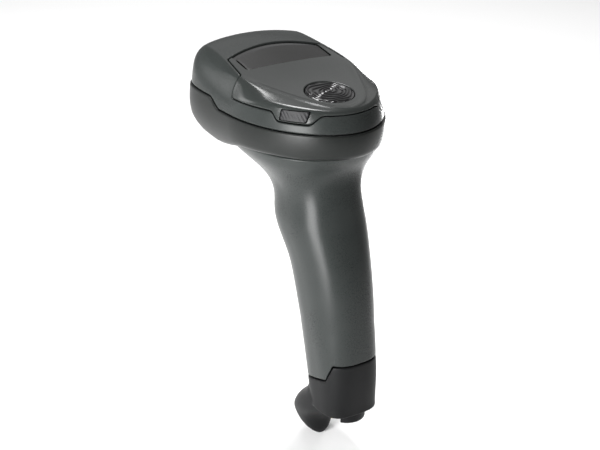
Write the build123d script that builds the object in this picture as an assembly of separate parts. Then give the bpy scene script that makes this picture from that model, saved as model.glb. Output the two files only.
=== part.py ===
from build123d import *
from functools import lru_cache
import math
import os

# Handheld barcode scanner without a cord: a drop-shaped head on a pistol grip.
# Millimetres. +Z is up, the nose and its window look along -Y, X = 0 is the mirror plane.
# The origin is on the floor under the middle of the scanner, level with the lowest point of the foot.

# ---- head ----
SEAM_Z = 163.0            # upper housing meets lower housing
NOSE_SEAM_Z = 167.3       # the same seam where it steps up round the nose
BAND_BOTTOM_Z = 150.5     # lower edge of the lower housing
HEAD_HALF_WIDTH = 34.8
HEAD_REAR = 47.0
HEAD_WIDEST_Y = -4.0      # where the head is widest
NOSE_POWER = 5.0          # how square the nose is in plan
TAIL_POWER = 1.95         # how round the back is in plan
WALL = 2.2
GAP = 0.15                # half the visible seam between fixed covers
BAND_PROUD = 0.9          # how far the lower housing stands out

# ---- top cover ----
COVER_FRONT = -26.2       # middle of the cover's bowed front edge
COVER_CORNER_Y = -21.2    # and its two corners
COVER_CORNER_HALF = 25.6
COVER_SHOULDER_Y = -5.0   # behind this the cover wraps down the flank
COVER_SHOULDER_HALF = 27.8
COVER_EDGE_Z = 171.0
COVER_THICK = 1.9
DECK_DEPTH = 2.1
BADGE_HALF = 22.8
BADGE_FRONT = -24.8       # middle of the badge's bowed front edge
BADGE_CORNER_Y = -20.6    # and its two corners
BADGE_REAR = -8.0
BADGE_DEEP = 1.1
GRILLE_Y = 24.0
GRILLE_RADIUS = 11.0
GRILLE_RIDGES = 5

# ---- indicator windows on both flanks ----
LED_Y = 31.0
LED_LONG = 11.5
LED_TALL = 4.6
LED_Z = 170.2
LED_DEEP = 5.0
LED_TURN = 26.0           # how far the flank has turned towards the back, in degrees

# ---- window in the nose ----
WINDOW_HALF = 23.0
WINDOW_LOW = 155.0
WINDOW_HIGH = 166.0
WINDOW_THICK = 1.6
WINDOW_Y = -51.4
BEZEL_RIM = 2.4

# ---- grip ----
GRIP_WALL = 2.4
GRIP_TOP = 150.2
BASE_Z = 24.0
LOWEST_Z = -2.4           # tip of the foot, in the same drawing heights
MIDDLE_Y = -2.0           # middle of the whole scanner, in the same drawing
CAP_FRONT_Z = 37.0        # seam of the battery door at the front
CAP_STEP_Z = 43.0         # and at the foot of its step on the side
CAP_REAR_Z = 51.5         # and across the back
CAP_STEP_Y = 44.5
DOOR_GAP = 0.35

# ---- trigger ----
PIVOT_Y = -9.0
PIVOT_Z = 141.5
PIVOT_RADIUS = 1.5
PIVOT_FIT = 0.05
PIN_LONG = 22.0
TRIGGER_HALF = 9.0
TRIGGER_LOW = 118.5
TRIGGER_HIGH = 144.6
TRIGGER_SKIN = 3.0
TRIGGER_CLEAR = 0.5
PLUNGER_Z = 126.0
PLUNGER_RADIUS = 1.6
PLUNGER_TIP = 1.0         # front end of the switch plunger
SWITCH_Y = 9.5
NOSE_PLAY = 0.45          # free travel between the trigger and the plunger

# ---- battery and foot ----
CELL_RADIUS = 9.2
CELL_LONG = 58.0
CELL_Y = 26.6
CELL_Z = 87.0
CELL_LEAN = 14.2          # degrees the grip leans back on its way down
DOOR_FLOOR = 2.4
LOCK_Y = 41.2
LOCK_SHANK = 3.2
LOCK_RADIUS = 8.8
LOCK_TALL = 4.2
CONTACT_X = 10.9

# ---- scan engine ----
ENGINE_HALF = 15.0
ENGINE_FRONT = -44.0
ENGINE_REAR = -19.0
ENGINE_LOW = 152.4
ENGINE_HIGH = 167.0
LENS_Z = 160.0
BOARD_Z = 154.6
BOARD_THICK = 1.2
BOARD_FRONT = -12.0
BOARD_REAR = 36.0
BOARD_BOSSES = [(17.5, 3.0), (16.5, 27.0)]
HOUSING_BOSSES = [(26.5, -6.0), (25.0, 18.0)]
FLOOR_TOP = BAND_BOTTOM_Z + 1.7
POST_DEEP = 5.0


def save(node, shape):
    """Write one sub-part to its own STEP file, moved from the drawing's zero to the origin on the floor."""
    export_step(Pos(0, -MIDDLE_Y, -LOWEST_Z) * shape, f"parts/{node}.step")


def ring(z, half, front, rear, widest, front_power=2.4, rear_power=2.4, count=28):
    """Closed smooth outline at one height: two half super-ellipses that share their widest line."""
    points = []
    for step in range(count):
        angle = 2 * math.pi * step / count
        side = math.sin(angle)
        reach = front - widest if side < 0 else rear - widest
        power = front_power if side < 0 else rear_power
        x = half * math.copysign(abs(math.cos(angle)) ** (2 / power), math.cos(angle))
        y = widest + abs(side) ** (2 / power) * reach
        points.append((x, y, z))
    return Wire([Edge.make_spline([Vector(*p) for p in points], periodic=True)])


def stack(rings):
    """Smooth solid through a stack of outlines."""
    return Solid.make_loft(rings)


def block(x0, x1, y0, y1, z0, z1):
    """Axis-aligned block between two corners."""
    return Pos((x0 + x1) / 2, (y0 + y1) / 2, (z0 + z1) / 2) * Box(x1 - x0, y1 - y0, z1 - z0)


def side_prism(points, half):
    """Outline in the YZ plane, pushed out to both sides of the mirror plane."""
    outline = Wire.make_polygon([Vector(0, y, z) for y, z in points], close=True)
    return extrude(Face(outline), amount=half, dir=(1, 0, 0), both=True)


def rod(radius, length, place):
    """Plain cylinder centred on a place."""
    return place * Cylinder(radius, length)


# ---------------------------------------------------------------- head surfaces

# height, half width, front, rear of the head's plan outline
HEAD_LEVELS = [
    (141.0, 28.0, -49.5, 39.0),
    (149.0, 33.0, -54.0, 44.2),
    (157.0, 34.9, -55.8, 47.0),
    (165.0, 34.7, -55.6, 46.8),
    (174.0, 33.8, -54.8, 43.0),
    (192.0, 30.0, -51.5, 38.0),
]

# y, crown height, half width of the flat top, drop from there to the side, bow of the flat top
ROOF_STATIONS = [
    (-66.0, 167.0, 22.0, 10.0, 2.6),
    (-55.0, 182.2, 23.0, 10.0, 2.6),
    (-48.0, 186.8, 24.0, 10.2, 2.6),
    (-38.0, 188.0, 24.5, 11.0, 2.6),
    (-26.0, 186.5, 25.5, 11.3, 2.4),
    (-11.0, 182.6, 27.6, 10.8, 1.2),
    (5.0, 178.6, 27.0, 8.0, 0.3),
    (20.0, 176.0, 21.0, 5.0, 0.0),
    (32.0, 174.4, 13.0, 3.6, 0.0),
    (42.0, 172.6, 5.0, 2.6, 0.0),
    (60.0, 167.0, 4.0, 3.0, 0.0),
]
ROOF_HALF = 40.0
ROOF_STEPS = 10


@lru_cache(maxsize=None)
def head_column(inset):
    """Side walls of the head as a tall column, drawn in by a wall thickness."""
    rings = []
    for z, half, front, rear in HEAD_LEVELS:
        outline = (half - inset, front + inset, rear - inset)
        rings.append(ring(z, *outline, HEAD_WIDEST_Y, NOSE_POWER, TAIL_POWER))
    return stack(rings)


@lru_cache(maxsize=None)
def roof(inset):
    """Everything below the crowned top surface, lowered by a wall thickness."""
    faces = []
    for y, crown, flat, drop, bow in ROOF_STATIONS:
        points = []
        for step in range(-ROOF_STEPS, ROOF_STEPS + 1):
            x = ROOF_HALF * step / ROOF_STEPS
            past = max(abs(x) - flat, 0) / (HEAD_HALF_WIDTH - flat)
            sag = drop * min(past, 1.5) ** 1.6 + bow * (min(abs(x), flat) / flat) ** 2
            points.append(Vector(x, y, crown - inset - sag))
        floor_left = Vector(-ROOF_HALF, y, 130)
        floor_right = Vector(ROOF_HALF, y, 130)
        edges = [Edge.make_spline(points), Edge.make_line(points[-1], floor_right)]
        edges += [Edge.make_line(floor_right, floor_left), Edge.make_line(floor_left, points[0])]
        faces.append(Wire(edges))
    return Solid.make_loft(faces)


@lru_cache(maxsize=None)
def head(inset):
    """Solid inside of the head's outer skin, drawn in by a wall thickness."""
    return head_column(inset) & roof(inset)


def seam_line(shift):
    """Seam between the two housings, from the back to the nose, moved up or down."""
    return [
        (60, SEAM_Z + shift),
        (-13, SEAM_Z + shift),
        (-24, NOSE_SEAM_Z + shift),
        (-66, NOSE_SEAM_Z + shift),
    ]


def above_seam():
    """Space above the seam."""
    return side_prism(seam_line(GAP) + [(-66, 200), (60, 200)], 60)


@lru_cache(maxsize=None)
def band_space(grow):
    """Side profile of the dark lower housing, with the nose that dips below the band."""
    low = [
        (-66, 159 - grow),
        (-54, 154.6 - grow),
        (-46, 150 - grow),
        (-36, 146 - grow),
        (-24, 144.2 - grow),
        (-12, 146.2 - grow),
        (2, BAND_BOTTOM_Z - 1 - grow),
        (22, BAND_BOTTOM_Z - grow),
        (60, BAND_BOTTOM_Z - grow),
    ]
    return side_prism(seam_line(-GAP) + low, 60)


def cover_zone(shrink):
    """Space of the removable top cover: the top between the shoulders, and the flanks behind them."""
    corner_half = COVER_CORNER_HALF - shrink
    left = (-corner_half, COVER_CORNER_Y + shrink, 0)
    right = (corner_half, COVER_CORNER_Y + shrink, 0)
    shoulder = COVER_SHOULDER_HALF - shrink
    top = extrude(
        make_face(
            Wire(
                [
                    Edge.make_three_point_arc(left, (0, COVER_FRONT + shrink, 0), right),
                    Edge.make_line(right, (shoulder, COVER_SHOULDER_Y, 0)),
                    Edge.make_line((shoulder, COVER_SHOULDER_Y, 0), (shoulder, 0, 0)),
                    Edge.make_line((shoulder, 0, 0), (-shoulder, 0, 0)),
                    Edge.make_line((-shoulder, 0, 0), (-shoulder, COVER_SHOULDER_Y, 0)),
                    Edge.make_line((-shoulder, COVER_SHOULDER_Y, 0), left),
                ]
            )
        ),
        amount=60,
    )
    flank = block(-60, 60, COVER_SHOULDER_Y + shrink, 60, COVER_EDGE_Z + shrink, 200)
    return (Pos(0, 0, 150) * top) + flank


# ---------------------------------------------------------------- grip surfaces

# height, half width, front, rear of the grip's outline
GRIP_LEVELS = [
    (GRIP_TOP, 30.8, -43.7, 41.5),
    (146.0, 29.0, -37.0, 39.0),
    (140.0, 24.4, -22.6, 35.4),
    (132.0, 19.4, -10.8, 35.6),
    (124.0, 18.4, -6.2, 37.6),
    (116.0, 18.9, -5.6, 39.8),
    (108.0, 18.4, -2.8, 42.4),
    (98.0, 17.2, 3.8, 45.4),
    (84.0, 16.4, 9.4, 48.4),
    (68.0, 15.7, 14.0, 50.4),
    (50.0, 14.8, 18.8, 51.8),
    (36.0, 14.3, 22.4, 51.8),
    (BASE_Z, 14.0, 24.8, 51.2),
]


@lru_cache(maxsize=None)
def grip(inset):
    """Solid inside of the grip's outer skin, drawn in by a wall thickness."""
    rings = []
    for z, half, front, rear in GRIP_LEVELS:
        widest = (front + rear) / 2
        power = 2.4 + 0.9 * max(0.0, (68.0 - z) / (68.0 - BASE_Z))
        rings.append(ring(z, half - inset, front + inset, rear - inset, widest, power, power))
    return stack(rings)


@lru_cache(maxsize=None)
def door_space(shift):
    """Everything below the battery door's stepped seam."""
    points = [
        (0, CAP_FRONT_Z - 3 + shift),
        (20, CAP_FRONT_Z - 1 + shift),
        (CAP_STEP_Y - 1, CAP_STEP_Z + shift),
        (CAP_STEP_Y + 2.5, CAP_REAR_Z + shift),
        (70, CAP_REAR_Z + shift),
        (70, -20),
        (0, -20),
    ]
    return side_prism(points, 60)


# ---------------------------------------------------------------- covers

def upper_housing():
    """Grey shell of the head; under the top cover it is a recessed deck."""
    shell = head(0) - (cover_zone(0) - head(DECK_DEPTH)) - head(DECK_DEPTH + WALL)
    shell = shell & above_seam()
    posts = Compound([Pos(x, y, SEAM_Z + GAP + 12) * Cylinder(3, 24) for x, y in housing_screw_places()])
    shell = shell + (posts & head(DECK_DEPTH + 0.5))
    for x, y in housing_screw_places():
        shell = shell - Pos(x, y, SEAM_Z) * Cylinder(1.2, 2 * POST_DEEP)
    return shell - sounder_well(0.4) - led_slots(0.3)


def top_cover():
    """Glossy cover that wraps the rear of the head, with its recesses cut through."""
    cover = (head(0) - head(COVER_THICK)) & cover_zone(0.25)
    return cover - sounder_well(0.2) - led_slots(0.2) - badge_pocket()


def badge_outline(shrink):
    """Plan outline of the blank badge: straight sides and back, and a bowed front."""
    half = BADGE_HALF - shrink
    front = BADGE_FRONT + shrink
    corner = BADGE_CORNER_Y + shrink
    rear = BADGE_REAR - shrink
    edges = [
        Edge.make_three_point_arc((-half, corner, 0), (0, front, 0), (half, corner, 0)),
        Edge.make_line((half, corner, 0), (half, rear, 0)),
        Edge.make_line((half, rear, 0), (-half, rear, 0)),
        Edge.make_line((-half, rear, 0), (-half, corner, 0)),
    ]
    return Pos(0, 0, 150) * extrude(Face(Wire(edges)), amount=60, dir=(0, 0, 1))


def badge_pocket():
    """Shallow pocket for the badge."""
    return badge_outline(0) - head(BADGE_DEEP)


def badge_plate():
    """Blank badge that lies in its pocket."""
    return (badge_outline(0.2) & head(0)) - head(BADGE_DEEP)


def sounder_well(grow):
    """Round well for the ridged grille."""
    return Pos(0, GRILLE_Y, 170) * Cylinder(GRILLE_RADIUS + grow, 30)


def beeper_grille():
    """Round plug with concentric ridges, set into the cover and the deck."""
    plug = (sounder_well(0) & roof(BADGE_DEEP)) - roof(DECK_DEPTH + WALL)
    ridges = Pos(0, GRILLE_Y, 170) * Cylinder(0.8, 30)
    for index in range(GRILLE_RIDGES):
        radius = 2.3 + 1.9 * index
        ridges = ridges + Pos(0, GRILLE_Y, 170) * (Cylinder(radius + 0.45,
                30) - Cylinder(radius - 0.45, 31))
    return plug + ((ridges & roof(0)) - roof(BADGE_DEEP + 0.1))


def led_place(side):
    """Centre and turn of an indicator window on one flank."""
    half = HEAD_HALF_WIDTH - 1.5
    reach = HEAD_REAR - HEAD_WIDEST_Y
    x = half * (1 - ((LED_Y - HEAD_WIDEST_Y) / reach) ** TAIL_POWER) ** (1 / TAIL_POWER)
    return Pos(side * x, LED_Y, LED_Z) * Rot(0, 0, side * LED_TURN)


def led_slots(grow):
    """Both openings for the indicator windows."""
    slot = Box(LED_DEEP * 2 + grow, LED_LONG + grow, LED_TALL + grow)
    return (led_place(1) * slot) + (led_place(-1) * slot)


def led_window(side):
    """Clear indicator window with its light pipe stub inside."""
    return (led_place(side) * Box(LED_DEEP * 2, LED_LONG, LED_TALL)) & head(0)


def lower_housing():
    """Dark band round the head with the nose frame and a floor that the grip bolts to."""
    shell = head_column(-BAND_PROUD) & band_space(0)
    shell = shell - (head_column(WALL) & block(-60, 60, -70, 60, FLOOR_TOP, 180))
    nose_floor = [(-66, 158), (-46, 152.4), (-36, 149.4), (-14, 149), (-12, FLOOR_TOP), (-12, 180),
            (-66, 180)]
    shell = shell - (head_column(WALL) & side_prism(nose_floor, 26))
    throat = stack([ring(z, 14, -5, 33, 14) for z in (140, 160)])
    slot = block(-TRIGGER_HALF - 1, TRIGGER_HALF + 1, -19, -3, 140, FLOOR_TOP - 1.2)
    shell = shell - throat - slot
    for x, y in boss_places():
        post = rod(2.6, BOARD_Z - FLOOR_TOP + 1, Pos(x, y, (BOARD_Z + FLOOR_TOP - 1) / 2))
        shell = (shell + post) - rod(0.95, 10, Pos(x, y, BOARD_Z))
    for x, y in housing_screw_places():
        shell = shell - rod(1.4, 10, Pos(x, y, FLOOR_TOP)) - rod(2.5, 3, Pos(x, y, FLOOR_TOP - 1.6))
    return shell - window_opening(0)


def window_opening(grow):
    """Opening in the nose for the bezel."""
    opening = block(-WINDOW_HALF - grow, WINDOW_HALF + grow, -70, WINDOW_Y + 6, WINDOW_LOW - grow,
            WINDOW_HIGH + grow)
    return fillet(opening.edges().filter_by(Axis.Y), 3)


def window_bezel():
    """Frame inside the nose opening that holds the window."""
    frame = (window_opening(-0.25) & head_column(0.6)) - block(-60, 60, WINDOW_Y + 4, 60, 100, 200)
    hole = block(BEZEL_RIM - WINDOW_HALF, WINDOW_HALF - BEZEL_RIM, -70, 0,
                 WINDOW_LOW + BEZEL_RIM, WINDOW_HIGH - BEZEL_RIM)
    hole = fillet(hole.edges().filter_by(Axis.Y), 1.5)
    seat = block(1.2 - WINDOW_HALF, WINDOW_HALF - 1.2, WINDOW_Y - 0.1, 0, WINDOW_LOW + 1.2,
            WINDOW_HIGH - 1.2)
    return frame - hole - seat


def scan_window():
    """Flat tinted window behind the bezel's rim."""
    low = WINDOW_LOW + 1.4
    high = WINDOW_HIGH - 1.4
    pane = block(1.4 - WINDOW_HALF, WINDOW_HALF - 1.4, WINDOW_Y, WINDOW_Y + WINDOW_THICK, low, high)
    return fillet(pane.edges().filter_by(Axis.Y), 1.5)


def window_gasket():
    """Soft ring between the window and the scan engine."""
    front = WINDOW_Y + WINDOW_THICK + 0.1
    outer = block(2 - WINDOW_HALF, WINDOW_HALF - 2, front, front + 1.8, WINDOW_LOW + 2, WINDOW_HIGH - 2)
    inner = block(4.5 - WINDOW_HALF, WINDOW_HALF - 4.5, front - 1, front + 3, WINDOW_LOW + 3.6,
            WINDOW_HIGH - 3.6)
    return outer - inner


def seam_gasket():
    """Soft cord in the seam between the two housings."""
    outer = head_column(WALL) & block(-60, 60, -10, 60, SEAM_Z - 1.4, SEAM_Z)
    return outer - head_column(WALL + 1.4)


# ---------------------------------------------------------------- grip parts

def grip_housing():
    """Grey grip that flares out under the head, with a slot for the trigger."""
    shell = grip(0) - grip(GRIP_WALL)
    shell = shell - door_space(DOOR_GAP)
    shell = shell - trigger_slot() - (head_column(-BAND_PROUD) & band_space(0.15))
    bearing = block(-13, 13, PIVOT_Y - 3, PIVOT_Y + 6, PIVOT_Z - 3.2, PIVOT_Z + 3.2)
    bearing = bearing - block(-TRIGGER_HALF - 0.4, TRIGGER_HALF + 0.4, -40, 20, 100, 160)
    bearing = bearing & grip(0.5)
    pin_hole = rod(PIVOT_RADIUS, PIN_LONG, Pos(0, PIVOT_Y, PIVOT_Z) * Rot(0, 90, 0))
    return (shell + bearing) - pin_hole


def trigger_slot():
    """Opening in the front of the grip."""
    half = TRIGGER_HALF + TRIGGER_CLEAR
    return block(-half, half, -40, 8, TRIGGER_LOW - 0.8, TRIGGER_HIGH + 3)


def trigger():
    """Curved trigger hung from its pin, following the front of the grip."""
    lane = block(-TRIGGER_HALF, TRIGGER_HALF, -40, 4, TRIGGER_LOW, TRIGGER_HIGH)
    skin = (grip(0.3) & lane) - (Pos(0, TRIGGER_SKIN, 0) * grip(0.3))
    skin = skin - (head_column(-BAND_PROUD) & band_space(0.6))
    eye = rod(3.0, 2 * TRIGGER_HALF, Pos(0, PIVOT_Y, PIVOT_Z) * Rot(0, 90, 0))
    neck = block(-TRIGGER_HALF, TRIGGER_HALF, PIVOT_Y - 4.5, PIVOT_Y, PIVOT_Z - 4, PIVOT_Z)
    nose = block(-2.5, 2.5, -8, PLUNGER_TIP - NOSE_PLAY, PLUNGER_Z - 2.5, PLUNGER_Z + 2.5)
    body = skin + ((eye + neck + nose) & grip(0.3))
    return body - rod(PIVOT_RADIUS + PIVOT_FIT, 60, Pos(0, PIVOT_Y, PIVOT_Z) * Rot(0, 90, 0))


def trigger_pin():
    """Steel pin that the trigger turns on."""
    return rod(PIVOT_RADIUS, PIN_LONG, Pos(0, PIVOT_Y, PIVOT_Z) * Rot(0, 90, 0))


def switch_body():
    """Press switch behind the trigger."""
    body = block(-4, 4, SWITCH_Y - 4, SWITCH_Y + 3, PLUNGER_Z - 4, PLUNGER_Z + 4)
    return body - rod(PLUNGER_RADIUS + 0.06, 9, Pos(0, SWITCH_Y - 4, PLUNGER_Z) * Rot(90, 0, 0))


def switch_plunger():
    """Round plunger that the trigger pushes in."""
    length = SWITCH_Y - 2 - PLUNGER_TIP
    return rod(PLUNGER_RADIUS, length, Pos(0, PLUNGER_TIP + length / 2, PLUNGER_Z) * Rot(90, 0, 0))


def switch_board():
    """Small board that carries the switch, on its rib."""
    return block(-8, 8, SWITCH_Y + 3.1, SWITCH_Y + 4.3, PLUNGER_Z - 9, PLUNGER_Z + 12)


# ---------------------------------------------------------------- battery door and foot

# height, half width, front, rear of the foot under the door
FOOT_LEVELS = [
    (38.0, 11.5, 23.5, 42.0),
    (31.0, 13.2, 21.0, 42.0),
    (24.0, 14.0, 15.2, 40.0),
    (19.0, 13.6, 10.4, 34.0),
    (14.0, 12.2, 7.0, 28.0),
    (9.0, 10.0, 5.4, 23.5),
    (4.0, 7.8, 6.6, 22.0),
    (0.0, 5.4, 9.6, 21.6),
    (-2.4, 2.6, 13.4, 20.6),
]


def foot():
    """Rounded foot that swells forwards and down from the front of the door."""
    return stack([ring(z, half, front, rear, (front + rear) / 2) for z, half, front, rear in FOOT_LEVELS])


def lock_place(z):
    """Point on the lock's axis under the door."""
    return Pos(0, LOCK_Y, z)


def door_room():
    """Hollow inside the door, above its floor."""
    return grip(GRIP_WALL) & block(-60, 60, -60, 90, BASE_Z + DOOR_FLOOR, 200)


def battery_door():
    """Dark cap that closes the grip, with the foot in front and the lock's hole in its floor."""
    cup = ((grip(0) + foot()) & door_space(-DOOR_GAP)) - door_room()
    cup = cup - charge_contact(1) - charge_contact(-1)
    lock_room = rod(LOCK_RADIUS + 0.6, 40, lock_place(BASE_Z - 20))
    return cup - lock_room - rod(LOCK_SHANK + 0.06, 30, lock_place(BASE_Z))


def lock_knob():
    """Quarter-turn lock: a ribbed knob under the door, a shank through its floor and a cam bar above."""
    knob = rod(LOCK_RADIUS, LOCK_TALL, lock_place(BASE_Z - DOOR_GAP - LOCK_TALL / 2))
    for side in (1, -1):
        knob = knob - Pos(side * (LOCK_RADIUS + 0.6), LOCK_Y, BASE_Z - 4.5) * Cylinder(5.5, 5)
    shank = rod(LOCK_SHANK, 9, lock_place(BASE_Z + 2.5))
    bar = lock_place(BASE_Z + DOOR_FLOOR + 2.2) * Box(11, 4, 2)
    return knob + shank + bar


def lock_washer():
    """Soft washer on the lock's shank, inside the door."""
    ring_body = rod(5.2, 0.8, lock_place(BASE_Z + DOOR_FLOOR + 0.4))
    return ring_body - rod(LOCK_SHANK + 0.3, 3, lock_place(BASE_Z + DOOR_FLOOR))


def charge_contact(side):
    """Brass charging pad, flush with the underside of the door."""
    return block(side * CONTACT_X - 1.5, side * CONTACT_X + 1.5, 44, 47, BASE_Z, BASE_Z + DOOR_FLOOR + 1)


# ---------------------------------------------------------------- battery

def cell_place(along):
    """Point on the battery's axis, measured up from its middle."""
    return Pos(0, CELL_Y, CELL_Z) * Rot(CELL_LEAN, 0, 0) * Pos(0, 0, along)


def battery_cell():
    """Round lithium cell with a raised end."""
    cell = cell_place(0) * fillet(Cylinder(CELL_RADIUS, CELL_LONG).edges(), 0.8)
    return cell + rod(3.5, 1.6, cell_place(CELL_LONG / 2 + 0.7))


def battery_wrap():
    """Thin sleeve round the cell."""
    return rod(CELL_RADIUS + 0.5, CELL_LONG - 6, cell_place(0)) - rod(CELL_RADIUS, CELL_LONG, cell_place(0))


def battery_plug():
    """Plug on the battery's upper end."""
    return cell_place(CELL_LONG / 2 + 4.2) * Box(10, 6, 5.2)


def battery_pad():
    """Foam pad under the battery's lower end."""
    return rod(CELL_RADIUS - 1.5, 2.4, cell_place(-CELL_LONG / 2 - 1.3))


# ---------------------------------------------------------------- electronics in the head

def boss_places():
    """Four places where the main board is screwed down."""
    return [(side * x, y) for x, y in BOARD_BOSSES for side in (1, -1)]


def housing_screw_places():
    """Four places where the two housings are screwed together."""
    return [(side * x, y) for x, y in HOUSING_BOSSES for side in (1, -1)]


def main_board():
    """Main circuit board with rounded corners and its screw holes."""
    board = block(-21, 21, BOARD_FRONT, BOARD_REAR, BOARD_Z, BOARD_Z + BOARD_THICK)
    board = fillet(board.edges().filter_by(Axis.Z), 9)
    for x, y in boss_places():
        board = board - rod(1.4, 5, Pos(x, y, BOARD_Z))
    return board


def board_screws():
    """Four small screws that hold the main board."""
    screws = []
    for x, y in boss_places():
        head_part = rod(2.2, 1.2, Pos(x, y, BOARD_Z + BOARD_THICK + 0.6))
        screws.append(head_part + rod(0.9, 3.2, Pos(x, y, BOARD_Z + 0.4)))
    return Compound(screws)


def chip(x, y, wide, deep, tall):
    """Flat electronic part standing on the main board."""
    base = BOARD_Z + BOARD_THICK
    return block(x - wide / 2, x + wide / 2, y - deep / 2, y + deep / 2, base, base + tall)


def processor():
    """Main processor."""
    return chip(0, 0, 12, 12, 1.4)


def radio_module():
    """Shielded radio module."""
    return chip(-12, 11, 9, 8, 2.4)


def radio_aerial():
    """Ceramic aerial beside the radio module."""
    return chip(-13, 18, 7, 3, 1.8)


def board_plug():
    """Socket on the main board for the battery lead."""
    return chip(12, 8, 8, 6, 4)


def sounder():
    """Round sounder under the grille."""
    base = BOARD_Z + BOARD_THICK
    can = rod(7.6, 8, Pos(0, GRILLE_Y, base + 4))
    return can - rod(1.3, 3, Pos(0, GRILLE_Y, base + 8))


def indicator_lamps():
    """Two small lamps on the main board, one beside each window."""
    return Compound([chip(side * 15, 33, 3, 3, 1.6) for side in (1, -1)])


def engine_chassis():
    """Metal frame of the scan engine, open for the lens barrel and the board behind it."""
    frame = block(-ENGINE_HALF, ENGINE_HALF, ENGINE_FRONT, ENGINE_REAR, ENGINE_LOW, ENGINE_HIGH)
    frame = frame - rod(5.05, 40, Pos(0, ENGINE_FRONT, LENS_Z) * Rot(90, 0, 0))
    frame = frame - block(-4, 4, ENGINE_REAR - 3.2, ENGINE_REAR, LENS_Z - 3.5, LENS_Z + 3.5)
    for side in (1, -1):
        frame = frame - rod(2.55, 14, Pos(side * 10, ENGINE_FRONT, LENS_Z) * Rot(90, 0, 0))
    return frame - block(-12, 12, ENGINE_REAR - 2.2, ENGINE_REAR + 1, ENGINE_LOW + 2, ENGINE_HIGH - 2)


def lens_barrel():
    """Threaded barrel that carries the lens."""
    barrel = rod(5.0, 12, Pos(0, ENGINE_FRONT + 5, LENS_Z) * Rot(90, 0, 0))
    return barrel - rod(3.8, 14, Pos(0, ENGINE_FRONT + 5, LENS_Z) * Rot(90, 0, 0))


def lens():
    """Front lens, domed on its outer side."""
    place = Pos(0, ENGINE_FRONT + 2, LENS_Z) * Rot(90, 0, 0)
    return (place * Cylinder(3.8, 4)) & (Pos(0, ENGINE_FRONT + 8, LENS_Z) * Sphere(8.5))


def sensor_board():
    """Board with the image sensor behind the lens."""
    plate = block(-11.5, 11.5, ENGINE_REAR - 2, ENGINE_REAR - 0.8, ENGINE_LOW + 2.4, ENGINE_HIGH - 2.4)
    return plate + block(-3.5, 3.5, ENGINE_REAR - 3, ENGINE_REAR - 2, LENS_Z - 3, LENS_Z + 3)


def light_sources():
    """Two round lamps, for the aiming dot and the lighting, beside the lens."""
    return Compound([rod(2.5, 6, Pos(side * 10, ENGINE_FRONT + 3, LENS_Z) * Rot(90, 0,
            0)) for side in (1, -1)])


def engine_ribbon():
    """Flat ribbon from the scan engine to the main board."""
    low = BOARD_Z + BOARD_THICK
    flat = block(-5, 5, ENGINE_REAR + 0.2, BOARD_FRONT + 5, low + 0.1, low + 0.4)
    return flat + block(-5, 5, ENGINE_REAR, ENGINE_REAR + 0.3, low + 0.1, ENGINE_HIGH - 4)


def housing_screws():
    """Four long screws that hold the two housings together, driven from below."""
    screws = []
    for x, y in housing_screw_places():
        head_part = rod(2.3, 1.5, Pos(x, y, FLOOR_TOP - 0.9))
        screws.append(head_part + rod(1.2, 14, Pos(x, y, FLOOR_TOP + 6.5)))
    return Compound(screws)


FIXED_PARTS = [
    upper_housing, top_cover, badge_plate, beeper_grille, lower_housing, window_bezel, scan_window,
    window_gasket, seam_gasket, grip_housing, trigger_pin, switch_body, switch_board, battery_cell,
    battery_wrap, battery_plug, battery_pad, main_board, board_screws, processor, radio_module,
    radio_aerial, board_plug, sounder, indicator_lamps, engine_chassis, lens_barrel, lens,
    sensor_board, light_sources, engine_ribbon, housing_screws,
]
MOVING_PARTS = [trigger, switch_plunger, battery_door, lock_knob, lock_washer]

os.makedirs("parts", exist_ok=True)
for make in FIXED_PARTS + MOVING_PARTS:
    save(make.__name__, make())
for side, label in ((1, "left"), (-1, "right")):
    save(f"led_window_{label}", led_window(side))
    save(f"charge_contact_{label}", charge_contact(side))
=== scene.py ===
import math

import bpy
import numpy as np
from bpy.props import FloatProperty, FloatVectorProperty, PointerProperty
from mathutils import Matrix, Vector


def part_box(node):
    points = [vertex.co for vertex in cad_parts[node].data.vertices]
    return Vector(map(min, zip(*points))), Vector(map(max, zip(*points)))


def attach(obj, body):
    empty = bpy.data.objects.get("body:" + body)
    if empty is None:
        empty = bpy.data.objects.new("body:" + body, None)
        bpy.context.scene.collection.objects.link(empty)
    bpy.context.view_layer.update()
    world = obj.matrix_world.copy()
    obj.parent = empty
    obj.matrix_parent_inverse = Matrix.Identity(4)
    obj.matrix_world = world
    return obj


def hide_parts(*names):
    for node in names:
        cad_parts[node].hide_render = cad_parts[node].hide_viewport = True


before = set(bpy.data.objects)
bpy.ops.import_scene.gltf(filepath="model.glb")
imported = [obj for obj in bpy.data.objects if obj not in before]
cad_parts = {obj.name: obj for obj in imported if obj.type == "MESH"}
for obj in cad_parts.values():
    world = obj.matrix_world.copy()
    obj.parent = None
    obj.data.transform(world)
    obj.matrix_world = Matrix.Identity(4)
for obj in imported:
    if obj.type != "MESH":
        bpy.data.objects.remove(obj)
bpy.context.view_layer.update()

bl_info = {
    "name": "Handheld barcode scanner",
    "version": (1, 0, 0),
    "blender": (4, 5, 0),
    "location": "3D View > Sidebar > Scanner",
    "description": "Outer shells, finishes and studio of a cordless handheld barcode scanner",
    "category": "Add Mesh",
}

MM = 0.001

# The shells are drawn in millimetres round a zero of their own. Where the trigger pin lies in that drawing
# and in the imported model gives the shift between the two.
PIN_DRAWN = np.array([0.0, -9.0, 141.5])
PIN_LOW, PIN_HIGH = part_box("trigger_pin")
SHIFT = np.array((PIN_LOW + PIN_HIGH) / 2) / MM - PIN_DRAWN

# ---------------------------------------------------------------- drawn sizes of the shells, in millimetres

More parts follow.
